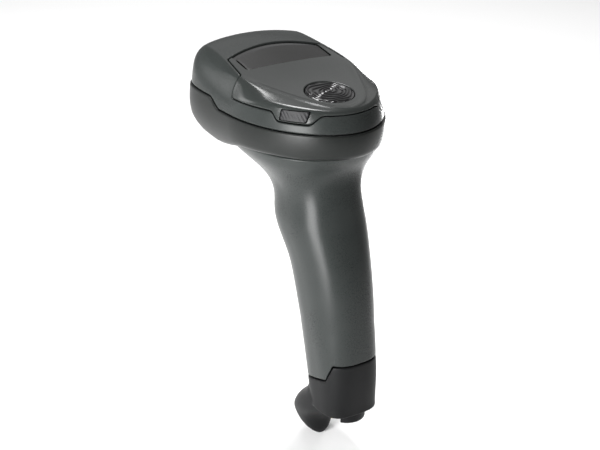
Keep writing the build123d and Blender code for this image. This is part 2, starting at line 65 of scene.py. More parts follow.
SEAM_Z = 163.0
NOSE_SEAM_Z = 167.3
SEAM_STEP = (-24.0, -13.0)
HEAD_HALF = 34.8
HEAD_WIDEST = -4.0
NOSE_POWER = 5.0
TAIL_POWER = 1.95
WALL_LEVEL = 165.0         # height whose outline spaces the head's columns
WALL_FAR = 110.0           # the head's wall is looked for no further out than this
HEAD_LOW, HEAD_HIGH = 150.0, 191.5
HEAD_COLUMNS = 520
NOSE_SOFT = 6.0            # how far the soft corner between wall and top reaches at the nose
TAIL_SOFT = 1.8            # and at the tail
SOFT_CHANGE = (-10, 8)     # y over which one turns into the other
SEAM_HALF = 0.15           # half the open seam between the two housings
WALL = 2.2
COVER_WALL = 1.9
BAND_WALL = 2.4
BAND_STAND = 0.9           # how far the dark band stands proud of the upper housing
BAND_ROUND = 2.6           # rounding of the band's lower edge
BAND_CENTRE = (0.0, 8.0)   # where the rays over the band's underside start
GRILLE_Y = 24.0
GRILLE_RADIUS = 11.0
COVER_FRONT = -26.2
COVER_CORNER_Y = -21.2
COVER_CORNER_HALF = 25.6
SHOULDER_Y = -5.0
SHOULDER_HALF = 27.8
COVER_EDGE_Z = 171.0
COVER_DIP = 3.9            # how far the cover's edge dips round an indicator window
COVER_NOSE_LOW = 176.0     # the cover's front part ends above this height
RIM_WIDTH = 1.5
RIM_FADE = (-6, 9)         # y over which the rim's bead rises from nothing
LED_Y = 31.0
LED_Z = 170.2
LED_HALF = 5.6
LED_TALL = 2.2
LED_LEAN = 34.0            # degrees that a window's normal turns from the side towards the rear
SLOT_PROUD = 3.0           # the cutters start this far outside the skin
CUTTER_LIP = 0.1
BADGE_HALF = 23.2
BADGE_FRONT = -26.8
BADGE_CORNER_Y = -22.4
BADGE_REAR = -8.0
BADGE_MIDDLE = (BADGE_FRONT + BADGE_REAR) / 2
BADGE_HALF_LONG = (BADGE_REAR - BADGE_FRONT) / 2
GRIP_TOP = 150.2
GRIP_WALL = 2.4
GRIP_COLUMNS = 260
WINDOW_OPENING = (23.0, 5.5, 3.0)    # half width, half height and corner radius of the nose's opening
WINDOW_BACK_Y = -60.0
WINDOW_Z = 160.5
TRIGGER_SLOT = (9.5, 16.0, 2.5)      # half width, half height and corner radius of the trigger's slot
TRIGGER_SLOT_Y = -45.0
TRIGGER_SLOT_Z = 133.7

# height, half width, front, rear of the head's outline
HEAD_LEVELS = [
    (141.0, 28.0, -49.5, 39.0),
    (149.0, 33.0, -54.0, 44.2),
    (157.0, 34.9, -55.8, 47.0),
    (165.0, 34.7, -55.6, 46.8),
    (174.0, 33.8, -54.8, 43.0),
    (192.0, 30.0, -51.5, 38.0),
]

# y, crown height, half width of the flat top, drop to the side, bow of the flat top
ROOF_STATIONS = [
    (-66.0, 167.0, 22.0, 10.0, 2.6),
    (-55.0, 182.2, 23.0, 10.0, 2.6),
    (-48.0, 186.8, 24.0, 10.2, 2.6),
    (-38.0, 188.0, 24.5, 11.0, 2.6),
    (-26.0, 186.5, 25.5, 11.3, 2.4),
    (-11.0, 182.6, 27.6, 10.8, 1.2),
    (5.0, 178.6, 27.0, 8.0, 0.3),
    (20.0, 176.0, 21.0, 5.0, 0.0),
    (32.0, 174.4, 13.0, 3.6, 0.0),
    (42.0, 172.6, 5.0, 2.6, 0.0),
    (60.0, 167.0, 4.0, 3.0, 0.0),
]

# y, height of the dark lower housing's underside
UNDERSIDE = [
    (-66.0, 159.0),
    (-54.0, 154.6),
    (-46.0, 150.0),
    (-36.0, 146.0),
    (-24.0, 144.2),
    (-12.0, 146.2),
    (2.0, 149.5),
    (22.0, 150.5),
    (60.0, 150.5),
]

# height, half width, front, rear of the grip's outline
GRIP_LEVELS = [
    (150.2, 30.8, -43.7, 41.5),
    (146.0, 29.0, -37.0, 39.0),
    (140.0, 24.4, -22.6, 35.4),
    (132.0, 19.4, -10.8, 35.6),
    (124.0, 18.4, -6.2, 37.6),
    (116.0, 18.9, -5.6, 39.8),
    (108.0, 18.4, -2.8, 42.4),
    (98.0, 17.2, 3.8, 45.4),
    (84.0, 16.4, 9.4, 48.4),
    (68.0, 15.7, 14.0, 50.4),
    (50.0, 14.8, 18.8, 51.8),
    (36.0, 14.3, 22.4, 51.8),
    (24.0, 14.0, 24.8, 51.2),
]

# y and height of the seam between the grip and the battery door
DOOR_SEAM = [(0.0, 34.0), (20.0, 36.0), (43.5, 43.0), (47.0, 51.5), (70.0, 51.5)]

# softboxes round the scanner: name, azimuth in degrees, distance, middle height, width, height, power
SOFTBOXES = [
    ("key_card", 112.0, 0.52, 0.19, 0.27, 0.36, 6.2),
    ("edge_strip", 302.0, 0.34, 0.10, 0.12, 0.20, 0.75),
    ("overhead", 327.0, 0.95, 0.95, 0.90, 0.70, 1.2),
    ("front_card", 48.0, 0.80, 0.32, 0.36, 0.22, 1.1),
    ("ceiling", 346.0, 0.48, 1.45, 0.50, 0.50, 19.5),
]

# corners of the raised rim round the top of the cover, on one side, from the shoulder to the tail
RIM_CORNERS = [(28.0, -8.0), (27.0, -1.0), (24.0, 8.5), (19.0, 20.0), (14.0, 30.0), (7.5, 38.0), (0.0, 41.0)]

# the studio, in metres
VIEW_TARGET = (0.0, 0.0020, 0.1054)
VIEW_BACK = (0.496, 0.773, 0.3955)
SENSOR_WIDTH = 36.0
AIR_STRENGTH = 0.30
FLOOR_HALF = 6.0
FLOOR_STEPS = 24
FLOOR_DROP = 0.0002


# ---------------------------------------------------------------- curves and sheets

def smooth_table(table, places):
    """Natural cubic curve through a table's rows: the first column is the place, the others follow it."""
    table = np.array(sorted(table), float)
    knots, values = table[:, 0], table[:, 1:]
    gaps = np.diff(knots)
    count = len(knots)
    system = np.eye(count)
    right = np.zeros_like(values)
    for i in range(1, count - 1):
        system[i, i - 1:i + 2] = gaps[i - 1], 2 * (gaps[i - 1] + gaps[i]), gaps[i]
        right[i] = 6 * ((values[i + 1] - values[i]) / gaps[i] - (values[i] - values[i - 1]) / gaps[i - 1])
    bend = np.linalg.solve(system, right)
    places = np.clip(places, knots[0], knots[-1])
    k = np.clip(np.searchsorted(knots, places) - 1, 0, count - 2)
    gap = gaps[k]
    a = ((knots[k + 1] - places) / gap)[..., None]
    b = 1 - a
    cubic = ((a**3 - a) * bend[k] + (b**3 - b) * bend[k + 1]) * gap[..., None] ** 2 / 6
    return np.moveaxis(a * values[k] + b * values[k + 1] + cubic, -1, 0)


def smooth_step(low, high, value):
    """0 below low, 1 above high and an S between them."""
    t = np.clip((value - low) / (high - low), 0, 1)
    return t * t * (3 - 2 * t)


def roof_height(x, y):
    """Height of the head's crowned top."""
    crown, flat, drop, bow = smooth_table(ROOF_STATIONS, y)
    past = np.clip(np.abs(x) - flat, 0, None) / (HEAD_HALF - flat)
    inner = np.minimum(np.abs(x), flat) / flat
    return crown - drop * np.minimum(past, 1.5) ** 1.6 - bow * inner**2


def wall_field(x, y, z):
    """Below zero inside the head's side wall."""
    half, front, rear = smooth_table(HEAD_LEVELS, z)
    ahead = y < HEAD_WIDEST
    reach = np.where(ahead, HEAD_WIDEST - front, rear - HEAD_WIDEST)
    power = np.where(ahead, NOSE_POWER, TAIL_POWER)
    return (np.abs(x) / half) ** power + (np.abs(y - HEAD_WIDEST) / reach) ** power - 1


HALVINGS = 34


def halve(inside, low, high):
    """Place between two arrays where inside() turns from true to false."""
    low = np.array(low, float)
    high = np.array(high, float)
    for _ in range(HALVINGS):
        middle = (low + high) / 2
        kept = inside(middle)
        low = np.where(kept, middle, low)
        high = np.where(kept, high, middle)
    return low


def wall_reach(angle, z):
    """Distance from the grille's axis to the side wall."""
    def inside(far):
        return wall_field(far * np.cos(angle), GRILLE_Y + far * np.sin(angle), z) < 0
    shape = np.broadcast(angle, z).shape
    return halve(inside, np.zeros(shape), np.full(shape, WALL_FAR))


def seam_height(y):
    """Height of the seam between the two housings."""
    return NOSE_SEAM_Z + (SEAM_Z - NOSE_SEAM_Z) * smooth_step(*SEAM_STEP, y)


class Sheet:
    """A smooth surface known by dense lines of points: one line for each column, running the same way."""

    def __init__(self, lines):
        self.lines = lines
        steps = np.linalg.norm(np.diff(lines, axis=0), axis=2)
        self.along = np.vstack([np.zeros(lines.shape[1]), np.cumsum(steps, axis=0)])
        self.long = self.along[-1]

    def points(self, run):
        """Points at distances along every column's line: run is rows x columns."""
        found = np.empty(run.shape + (3,))
        for column in range(run.shape[1]):
            for axis in range(3):
                line = self.lines[:, column, axis]
                found[:, column, axis] = np.interp(run[:, column], self.along[:, column], line)
        return found

    def lifted(self, run, lift):
        """The same points moved out along the surface's normal."""
        here = self.points(run)
        along = self.points(np.minimum(run + 0.25, self.long)) - self.points(np.maximum(run - 0.25, 0))
        across = np.roll(here, -1, axis=1) - np.roll(here, 1, axis=1)
        normal = np.cross(across, along)
        normal /= np.maximum(np.linalg.norm(normal, axis=2, keepdims=True), 1e-9)
        return here + normal * lift[..., None]

    def crossing(self, field):
        """First distance along every column where a field over the dense points rises through zero."""
        above = field > 0
        first = np.clip(np.argmax(above, axis=0), 1, None)
        column = np.arange(field.shape[1])
        low, high = field[first - 1, column], field[first, column]
        share = np.clip(-low / np.where(high == low, 1, high - low), 0, 1)
        start, end = self.along[first - 1, column], self.along[first, column]
        return start + (end - start) * share


def soften(values, reach):
    """Round off a closed row of numbers with a bell-shaped average."""
    weights = np.exp(-0.5 * (np.arange(-3 * reach, 3 * reach + 1) / reach) ** 2)
    weights /= weights.sum()
    total = np.zeros_like(values)
    for shift, weight in zip(range(-3 * reach, 3 * reach + 1), weights):
        total += weight * np.roll(values, shift)
    return total


def lipped(start, end, count, lip, thick, inner=12):
    """Runs and lifts of a closed wall between two edges: rounded lips outside, the return wall inside."""
    runs, lifts = [], []
    level = np.zeros_like(start)
    turns = np.linspace(0, math.pi / 2, 5)
    for turn in turns:
        runs.append(start + lip * (1 - math.cos(turn)))
        lifts.append(level - lip * (1 - math.sin(turn)))
    for t in np.linspace(0, 1, count + 2)[1:-1]:
        runs.append((start + lip) * (1 - t) + (end - lip) * t)
        lifts.append(level)
    for turn in turns[::-1]:
        runs.append(end - lip * (1 - math.cos(turn)))
        lifts.append(level - lip * (1 - math.sin(turn)))
    for t in np.linspace(0, 1, inner):
        runs.append(end * (1 - t) + start * t)
        lifts.append(level - thick)
    return np.array(runs), np.array(lifts)


def head_sheet(columns):
    """Outer skin of the head: up the side wall, round its soft corner and over the top to the grille."""
    turn = np.linspace(0, 2 * math.pi, 4000, endpoint=False)
    ahead = np.sin(turn) < 0
    half, front, rear = smooth_table(HEAD_LEVELS, np.array([WALL_LEVEL]))[:, 0]
    power = np.where(ahead, NOSE_POWER, TAIL_POWER)
    reach = np.where(ahead, HEAD_WIDEST - front, rear - HEAD_WIDEST)
    x = half * np.sign(np.cos(turn)) * np.abs(np.cos(turn)) ** (2 / power)
    y = HEAD_WIDEST + np.sign(np.sin(turn)) * np.abs(np.sin(turn)) ** (2 / power) * reach
    angle = np.unwrap(np.arctan2(y - GRILLE_Y, x))
    edge = np.hypot(np.diff(x, append=x[0]), np.diff(y, append=y[0]))
    travelled = np.concatenate([[0], np.cumsum(edge)])
    angle = np.append(angle, angle[0] + 2 * math.pi)
    angles = np.interp(np.linspace(0, travelled[-1], columns, endpoint=False), travelled, angle)

    heights = np.linspace(HEAD_LOW, HEAD_HIGH, 120)[:, None]
    reaches = wall_reach(angles[None, :], heights)
    x = reaches * np.cos(angles)
    y = GRILLE_Y + reaches * np.sin(angles)
    wall = Sheet(np.stack([reaches, np.broadcast_to(heights, reaches.shape), reaches * 0], axis=2))
    top = wall.crossing(heights - roof_height(x, y))
    corner = wall.points(top[None])[0]
    corner_y = GRILLE_Y + corner[:, 0] * np.sin(angles)
    soft = NOSE_SOFT - (NOSE_SOFT - TAIL_SOFT) * smooth_step(*SOFT_CHANGE, corner_y)
    rise = wall.points(np.linspace(0, 1, 60)[:, None] * (top - soft))
    share = np.linspace(0, 1, 240)[:, None]
    inward = (corner[:, 0] - soft) * (1 - share) + GRILLE_RADIUS * share
    over_z = roof_height(inward * np.cos(angles), GRILLE_Y + inward * np.sin(angles))
    over = np.stack([inward, over_z, inward * 0], axis=2)
    t = np.linspace(0, 1, 16)[1:-1, None, None]
    bend = rise[-1] * (1 - t) ** 2 + corner * 2 * t * (1 - t) + over[0] * t**2
    reach, height = np.moveaxis(np.concatenate([rise, bend, over]), 2, 0)[:2]
    lines = np.stack([reach * np.cos(angles), GRILLE_Y + reach * np.sin(angles), height], axis=2)
    return Sheet(lines), angles


def cover_edge(sheet):
    """Distance along every column of the head to the edge of the top cover."""
    x, y, z = np.moveaxis(sheet.lines, 2, 0)
    share = (y - COVER_CORNER_Y) / (SHOULDER_Y - COVER_CORNER_Y)
    wide = COVER_CORNER_HALF + (SHOULDER_HALF - COVER_CORNER_HALF) * share
    bowed = COVER_FRONT + (COVER_CORNER_Y - COVER_FRONT) * (x / COVER_CORNER_HALF) ** 2
    front = np.minimum(np.minimum(wide - np.abs(x), y - bowed), (z - COVER_NOSE_LOW) * 0.5)
    dip = 1 - smooth_step(LED_HALF + 1.0, LED_HALF + 3.2, np.abs(y - LED_Y))
    flank = np.minimum(y - SHOULDER_Y, z - (COVER_EDGE_Z - COVER_DIP * dip))
    return soften(sheet.crossing(np.maximum(front, flank)), 2)


def grip_half(z):
    """Half width, front, rear and squareness of the grip at a height."""
    half, front, rear = smooth_table(GRIP_LEVELS, z)
    return half, front, rear, 2.4 + 0.9 * np.clip((68.0 - z) / 44.0, 0, None)


def grip_points(turn, z):
    """Points on the grip's skin at a turn round it and a height."""
    half, front, rear, power = grip_half(z)
    x = half * np.sign(np.cos(turn)) * np.abs(np.cos(turn)) ** (2 / power)
    y = (front + rear) / 2 + (rear - front) / 2 * np.sign(np.sin(turn)) * np.abs(np.sin(turn)) ** (2 / power)
    return np.stack([x, y, z + 0 * x], axis=-1)


def underside_height(y):
    """Height of the dark housing's underside."""
    table = np.array(UNDERSIDE)
    return np.interp(y, table[:, 0], table[:, 1])


def door_seam_height(y):
    """Height of the battery door's stepped seam."""
    table = np.array(DOOR_SEAM)
    return np.interp(y, table[:, 0], table[:, 1])


def grip_sheet(columns):
    """Outer skin of the grip, from the battery door's seam up to the head."""
    turn = np.linspace(0, 2 * math.pi, columns, endpoint=False)
    top = halve(lambda z: z < underside_height(grip_points(turn, z)[..., 1]) - 0.3,
                np.full(columns, 140.0), np.full(columns, GRIP_TOP))
    low = halve(lambda z: z < door_seam_height(grip_points(turn, z)[..., 1]) + 0.35,
                np.full(columns, 28.0), np.full(columns, 60.0))
    share = np.linspace(0, 1, 260)[:, None]
    return Sheet(grip_points(turn[None, :], low * (1 - share) + top * share))


def band_sheet(angles):
    """Outer skin of the dark lower housing: out along its underside, round its lower edge, up to the seam."""
    wall_y = GRILLE_Y + wall_reach(angles, np.full(angles.shape, 156.0)) * np.sin(angles)
    foot_z = underside_height(wall_y)
    seam_z = seam_height(wall_y) - SEAM_HALF
    low_reach = wall_reach(angles, foot_z) + BAND_STAND
    edge = np.stack([low_reach * np.cos(angles), GRILLE_Y + low_reach * np.sin(angles)], axis=1)

    centre = np.array(BAND_CENTRE)
    away = np.linalg.norm(edge - centre, axis=1)
    last_xy = centre + (edge - centre) * (1 - BAND_ROUND / away)[:, None]
    under_xy = centre + (last_xy - centre) * np.linspace(0.3, 1, 60)[:, None, None]
    under = np.concatenate([under_xy, underside_height(under_xy[..., 1])[..., None]], axis=2)

    share = np.linspace(0, 1, 60)[:, None]
    rise_z = (foot_z + BAND_ROUND) * (1 - share) + seam_z * share
    reach = wall_reach(angles[None, :], rise_z) + BAND_STAND
    rise = np.stack([reach * np.cos(angles), GRILLE_Y + reach * np.sin(angles), rise_z], axis=2)

    corner = np.concatenate([edge, foot_z[:, None]], axis=1)
    t = np.linspace(0, 1, 14)[1:-1, None, None]
    bend = under[-1] * (1 - t) ** 2 + corner * 2 * t * (1 - t) + rise[0] * t**2
    return Sheet(np.concatenate([under, bend, rise]))


# ---------------------------------------------------------------- meshes

def mesh_piece(name, points, faces):
    """New object from points in drawing millimetres."""
    mesh = bpy.data.meshes.new(name)
    mesh.from_pydata(((np.asarray(points).reshape(-1, 3) + SHIFT) * MM).tolist(), [], faces)
    mesh.update()
    piece = bpy.data.objects.new(name, mesh)
    bpy.context.scene.collection.objects.link(piece)
    return piece


def ring_faces(rows, columns, closed_rows):
    """Quads of a grid whose columns run round and whose rows may run round too."""
    faces = []
    for row in range(rows if closed_rows else rows - 1):
        upper = (row + 1) % rows
        for column in range(columns):
            beside = (column + 1) % columns
            faces.append((row * columns + column, row * columns + beside,
                          upper * columns + beside, upper * columns + column))
    return faces


def fanned_faces(rows, columns):
    """Quads of a grid whose columns run round, and fans from its last and first rows to two more points."""
    faces = ring_faces(rows, columns, False)
    last_row = (rows - 1) * columns
    middle = rows * columns
    for column in range(columns):
        beside = (column + 1) % columns
        faces.append((last_row + column, last_row + beside, middle))
        faces.append((beside, column, middle + 1))
    return faces


def wall_piece(name, sheet, start, end, count, lip, thick, relief=None):
    """Closed wall of a sheet between two edges."""
    run, lift = lipped(start, end, count, lip, thick)
    if relief is not None:
        place = sheet.points(run)
        outer = lift > -thick * 0.99
        lift = lift + np.where(outer, relief(place[..., 0], place[..., 1]), 0)
    points = sheet.lifted(run, lift)
    return mesh_piece(name, points, ring_faces(len(run), run.shape[1], True))


def settle(piece):
    """Turn a piece's modifiers into its mesh."""
    bpy.context.view_layer.update()
    shaped = bpy.data.meshes.new_from_object(piece.evaluated_get(bpy.context.evaluated_depsgraph_get()))
    shaped.name = piece.name
    piece.modifiers.clear()
    piece.data = shaped
    return piece


def shade(piece, sharp_degrees=32):
    """Smooth shading that keeps real edges."""
    piece.data.shade_smooth()
    piece.data.set_sharp_from_angle(angle=math.radians(sharp_degrees))
    return piece


def cut(piece, *cutters):
    """Cut other closed meshes out of a piece and drop them."""
    for cutter in cutters:
        step = piece.modifiers.new("cut", "BOOLEAN")
        step.operation = "DIFFERENCE"
        step.solver = "EXACT"
        step.object = cutter
    settle(piece)
    for cutter in cutters:
        bpy.data.objects.remove(cutter)
    return piece


def rounded_outline(half_u, half_v, corner, arc_steps=6, edge_steps=12):
    """Closed outline of a rectangle with round corners, in its own plane."""
    def corner_point(quarter, turn):
        sign_u = (1, -1, -1, 1)[quarter % 4]
        sign_v = (1, 1, -1, -1)[quarter % 4]
        return (sign_u * (half_u - corner) + corner * math.cos(turn),
                sign_v * (half_v - corner) + corner * math.sin(turn))

    outline = []
    for quarter in range(4):
        for step in range(arc_steps + 1):
            outline.append(corner_point(quarter, math.pi / 2 * (quarter + step / arc_steps)))
        last = outline[-1]
        following = corner_point(quarter + 1, math.pi / 2 * (quarter + 1))
        for step in range(1, edge_steps):
            share = step / edge_steps
            outline.append((last[0] * (1 - share) + following[0] * share,
                            last[1] * (1 - share) + following[1] * share))
    return np.array(outline)


def plate_piece(name, outline, place, thick, lip, rows=10, relief=None):
    """Closed plate on a surface: place(u, v, lift) gives its points and relief(u, v) its fine shape."""
    far = np.abs(outline).max()
    rings = [(1.0, -thick)]
    for turn in np.linspace(0, math.pi / 2, 4):
        rings.append((1 - lip / far * (1 - math.cos(turn)), -lip * (1 - math.sin(turn))))
    edge = 1 - lip / far
    rings += [(edge * (1 - t), 0.0) for t in np.linspace(0, 1, rows + 1)[1:-1]]
    points = []
    for scale, lift in rings:
        u, v = (outline * scale).T
        fine = relief(u, v) if relief is not None and lift > -lip / 2 else 0
        points.append(place(u, v, lift + fine))
    points.append(place(np.zeros(1), np.zeros(1), relief(0, 0) if relief is not None else 0.0))
    points.append(place(np.zeros(1), np.zeros(1), -thick))
    return mesh_piece(name, np.concatenate(points), fanned_faces(len(rings), len(outline)))


def softened_copy(node, name, voxel, rounds, factor=0.6):
    """Copy of a CAD piece with its edges rounded off as moulded plastic has them."""
    piece = bpy.data.objects.new(name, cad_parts[node].data.copy())
    bpy.context.scene.collection.objects.link(piece)
    piece.data.materials.clear()
    remesh = piece.modifiers.new("remesh", "REMESH")
    remesh.mode = "VOXEL"
    remesh.voxel_size = voxel * MM
    smooth = piece.modifiers.new("smooth", "SMOOTH")
    smooth.factor = factor
    smooth.iterations = rounds
    return shade(settle(piece), 60)


# ---------------------------------------------------------------- finishes

class Signal:
    """A number on a shader socket. Arithmetic on it adds Math nodes."""

    def __init__(self, finish, socket):
        self.finish = finish
        self.socket = socket

    def maths(self, operation, first, second):
        return self.finish.add("ShaderNodeMath", {"operation": operation}, {0: first, 1: second}, 0)

    def __add__(self, other):
        return self.maths("ADD", self, other)

    def __radd__(self, other):
        return self.maths("ADD", other, self)

    def __sub__(self, other):
        return self.maths("SUBTRACT", self, other)

    def __rsub__(self, other):
        return self.maths("SUBTRACT", other, self)

    def __mul__(self, other):
        return self.maths("MULTIPLY", self, other)

    def __rmul__(self, other):
        return self.maths("MULTIPLY", other, self)


class Finish:
    """One material, built node by node."""

    def __init__(self, name):
        self.material = bpy.data.materials.new(name)
        self.material.use_nodes = True
        self.tree = self.material.node_tree
        self.tree.nodes.clear()
        self.shader = self.tree.nodes.new("ShaderNodeBsdfPrincipled")
        output = self.tree.nodes.new("ShaderNodeOutputMaterial")
        self.tree.links.new(self.shader.outputs[0], output.inputs[0])
        self.place = self.add("ShaderNodeTexCoord", {}, {}, "Object")

    def add(self, kind, settings, values, output):
        """One node: its settings first, then its sockets' values or links. Gives back one output."""
        node = self.tree.nodes.new(kind)
        for key, value in settings.items():
            setattr(node, key, value)
        self.fill(node, values)
        return Signal(self, node.outputs[output])

    def fill(self, node, values):
        """Set or link a node's input sockets."""
        for key, value in values.items():
            if isinstance(value, Signal):
                self.tree.links.new(value.socket, node.inputs[key])
            else:
                node.inputs[key].default_value = value

    def noise(self, scale, detail=2.0, rough=0.5):
        """Cloudy noise between about 0.3 and 0.7, with its scale in waves per metre."""
        values = {"Vector": self.place, "Scale": scale, "Detail": detail, "Roughness": rough}
        return self.add("ShaderNodeTexNoise", {}, values, 0)

    def limits(self, value, low, high, to_low=0.0, to_high=1.0):
        """Stretch part of a signal's range over another range."""
        values = {0: value, 1: low, 2: high, 3: to_low, 4: to_high}
        return self.add("ShaderNodeMapRange", {"interpolation_type": "SMOOTHSTEP"}, values, 0)

    def worn_and_sheen_edges(self):
        """1 on outward edges and 0 elsewhere."""
        return self.limits(self.add("ShaderNodeNewGeometry", {}, {}, "Pointiness"), 0.52, 0.60)

    def mixed(self, share, first, second):
        """One colour fading into another."""
        return self.add("ShaderNodeMix", {"data_type": "RGBA"}, {0: share, 6: first, 7: second}, 2)

    def bumped(self, height, distance, strength=1.0):
        """Surface normal for a height signal."""
        values = {"Height": height, "Distance": distance, "Strength": strength}
        return self.add("ShaderNodeBump", {}, values, "Normal")


def shaded(colour, factor):
    """A colour made lighter or darker."""
    return (colour[0] * factor, colour[1] * factor, colour[2] * factor, 1.0)


def moulded_plastic(name, colour, rough, grain=1.0, sheen=1.3, gloss=0.35):
    """Moulded plastic: faint colour drift, fine spark-eroded grain, slightly polished edges whose colour is
    painted lighter, partly as wear and partly as a painted highlight.
    """
    finish = Finish(name)
    drift = finish.noise(45.0, 3.0)
    speck = finish.noise(2600.0, 2.0, 0.6)
    edges = finish.worn_and_sheen_edges()
    plain = finish.mixed(finish.limits(drift, 0.35, 0.65), shaded(colour, 0.94), shaded(colour, 1.06))
    fleck = finish.mixed(finish.limits(speck, 0.4, 0.62) * 0.35, plain, shaded(colour, 1.22))
    # Outward edges are painted lighter by the sheen factor: partly wear, partly a painted highlight that is
    # stronger on the glossier finishes.
    base = finish.mixed(edges * 0.45, fleck, shaded(colour, sheen))
    roughness = rough + (drift - 0.5) * 0.10 + (speck - 0.5) * 0.12 - edges * 0.08
    pits = finish.noise(3400.0, 3.0, 0.55) + finish.noise(900.0, 2.0) * 0.5
    finish.fill(finish.shader, {
        "Base Color": base,
        "Roughness": roughness,
        "Specular IOR Level": gloss,
        "Normal": finish.bumped(pits, 0.00004 * grain, 0.6),
    })
    return finish.material


def smoked_glass(name, colour, rough, clear):
    """Tinted clear plastic or glass with faint smears."""
    finish = Finish(name)
    smear = finish.noise(160.0, 4.0, 0.7)
    base = finish.mixed(finish.limits(smear, 0.35, 0.7), shaded(colour, 0.9), shaded(colour, 1.15))
    finish.fill(finish.shader, {
        "Base Color": base,
        "Roughness": rough + finish.limits(smear, 0.4, 0.75) * 0.08,
        "Transmission Weight": clear,
        "IOR": 1.49,
        "Normal": finish.bumped(smear, 0.00003, 0.4),
    })
    return finish.material


def bare_metal(name, colour, rough, stretch=(1.0, 1.0, 8.0)):
    """Turned or stamped metal with fine tool marks and dull recesses."""
    finish = Finish(name)
    lane = finish.add("ShaderNodeMapping", {}, {"Vector": finish.place, "Scale": stretch}, 0)
    values = {"Vector": lane, "Scale": 900.0, "Detail": 4.0, "Roughness": 0.6}
    marks = finish.add("ShaderNodeTexNoise", {}, values, 0)
    edges = finish.worn_and_sheen_edges()
    cloud = finish.limits(finish.noise(120.0, 3.0), 0.35, 0.7)
    dull = finish.mixed(cloud, shaded(colour, 0.8), shaded(colour, 1.05))
    finish.fill(finish.shader, {
        "Base Color": finish.mixed(edges * 0.6, dull, shaded(colour, 1.25)),
        "Metallic": 1.0,
        "Roughness": rough + (marks - 0.5) * 0.25 - edges * 0.1,
        "Normal": finish.bumped(marks, 0.00003, 0.5),
    })
    return finish.material


def soft_rubber(name, colour, rough=0.8):
    """Rubber or foam with open pores and dusty high spots."""
    finish = Finish(name)
    values = {"Vector": finish.place, "Scale": 1400.0}
    pores = finish.add("ShaderNodeTexVoronoi", {"feature": "SMOOTH_F1"}, values, "Distance")
    dust = finish.noise(90.0, 3.0)
    base = finish.mixed(finish.limits(dust, 0.4, 0.7), shaded(colour, 0.9), shaded(colour, 1.3))
    finish.fill(finish.shader, {
        "Base Color": finish.mixed(finish.limits(pores, 0.1, 0.5) * 0.4, shaded(colour, 0.6), base),
        "Roughness": rough + (dust - 0.5) * 0.15,
        "Normal": finish.bumped(pores, 0.00008, 0.6),
    })
    return finish.material


def circuit_laminate(name, colour):
    """Green board: tracks under the mask as fine lanes, weave and a satin surface."""
    finish = Finish(name)
    cells = {"Vector": finish.place, "Scale": 420.0}
    lanes = finish.add("ShaderNodeTexVoronoi", {"distance": "MANHATTAN"}, cells, "Distance")
    weave = finish.noise(1900.0, 1.0)
    copper = finish.limits(lanes, 0.34, 0.40)
    finish.fill(finish.shader, {
        "Base Color": finish.mixed(copper, shaded(colour, 0.75), shaded(colour, 1.5)),
        "Roughness": 0.38 + (weave - 0.5) * 0.2,
        "Normal": finish.bumped(copper + weave * 0.3, 0.00004, 0.7),
    })
    return finish.material


def printed_sleeve(name, colour):
    """Shrunk sleeve or ribbon with faint lengthwise ripples."""
    finish = Finish(name)
    waves = {"Vector": finish.place, "Scale": 180.0, "Distortion": 2.0, "Detail": 2.0}
    ripple = finish.add("ShaderNodeTexWave", {"bands_direction": "Z"}, waves, "Fac")
    blotch = finish.noise(240.0, 3.0)
    base = finish.mixed(finish.limits(blotch, 0.35, 0.7), shaded(colour, 0.85), shaded(colour, 1.1))
    finish.fill(finish.shader, {
        "Base Color": base,
        "Roughness": 0.34 + (blotch - 0.5) * 0.2,
        "Normal": finish.bumped(ripple + blotch, 0.00005, 0.5),
    })
    return finish.material


def finishes(colours):
    """Every material slot's finish."""
    return {
        "housing": moulded_plastic("housing", colours.housing, 0.29, gloss=0.2),
        "cover": moulded_plastic("cover", colours.cover, 0.19, 0.5, sheen=1.5),
        "band": moulded_plastic("band", colours.band, 0.36, 0.7, gloss=0.22),
        "black": moulded_plastic("black", colours.door, 0.48, gloss=0.13),
        "badge": moulded_plastic("badge", colours.badge, 0.34, 0.6, gloss=0.2),
        "grille": moulded_plastic("grille", colours.grille, 0.17, 0.3, sheen=1.6, gloss=0.5),
        "clear": moulded_plastic("clear", colours.indicator, 0.30, 0.3, sheen=1.8, gloss=0.12),
        "window": smoked_glass("window", (0.05, 0.012, 0.012), 0.05, 0.55),
        "lens_glass": smoked_glass("lens_glass", (0.7, 0.8, 0.95), 0.02, 0.95),
        "rubber": soft_rubber("rubber", (0.02, 0.02, 0.02)),
        "foam": soft_rubber("foam", (0.06, 0.06, 0.065), 0.9),
        "steel": bare_metal("steel", (0.55, 0.55, 0.56), 0.32),
        "chassis": bare_metal("chassis", (0.42, 0.43, 0.45), 0.45, (1.0, 6.0, 1.0)),
        "brass": bare_metal("brass", (0.78, 0.56, 0.22), 0.3),
        "board": circuit_laminate("board", (0.01, 0.09, 0.04)),
        "chip": moulded_plastic("chip", (0.015, 0.015, 0.017), 0.5, 1.2),
        "shield": bare_metal("shield", (0.62, 0.62, 0.6), 0.28),
        "ceramic": moulded_plastic("ceramic", (0.62, 0.6, 0.55), 0.5),
        "cell": bare_metal("cell", (0.5, 0.5, 0.5), 0.35),
        "wrap": printed_sleeve("wrap", (0.03, 0.09, 0.32)),
        "ribbon": printed_sleeve("ribbon", (0.45, 0.20, 0.05)),
        "lamp": smoked_glass("lamp", (0.75, 0.78, 0.6), 0.1, 0.6),
    }


# ---------------------------------------------------------------- pieces

MADE = {}


def dress(piece, body, slot, *nodes):
    """Give a piece its finish, its body and the CAD nodes it stands for."""
    piece.data.materials.clear()
    piece.data.materials.append(MADE["finishes"][slot])
    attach(piece, body)
    if nodes:
        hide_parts(*nodes)
    return piece


def head_parts():
    """The head's skin and its cover edge, worked out once."""
    if "head" not in MADE:
        sheet, angles = head_sheet(HEAD_COLUMNS)
        MADE["head"] = (sheet, angles, cover_edge(sheet))
    return MADE["head"]


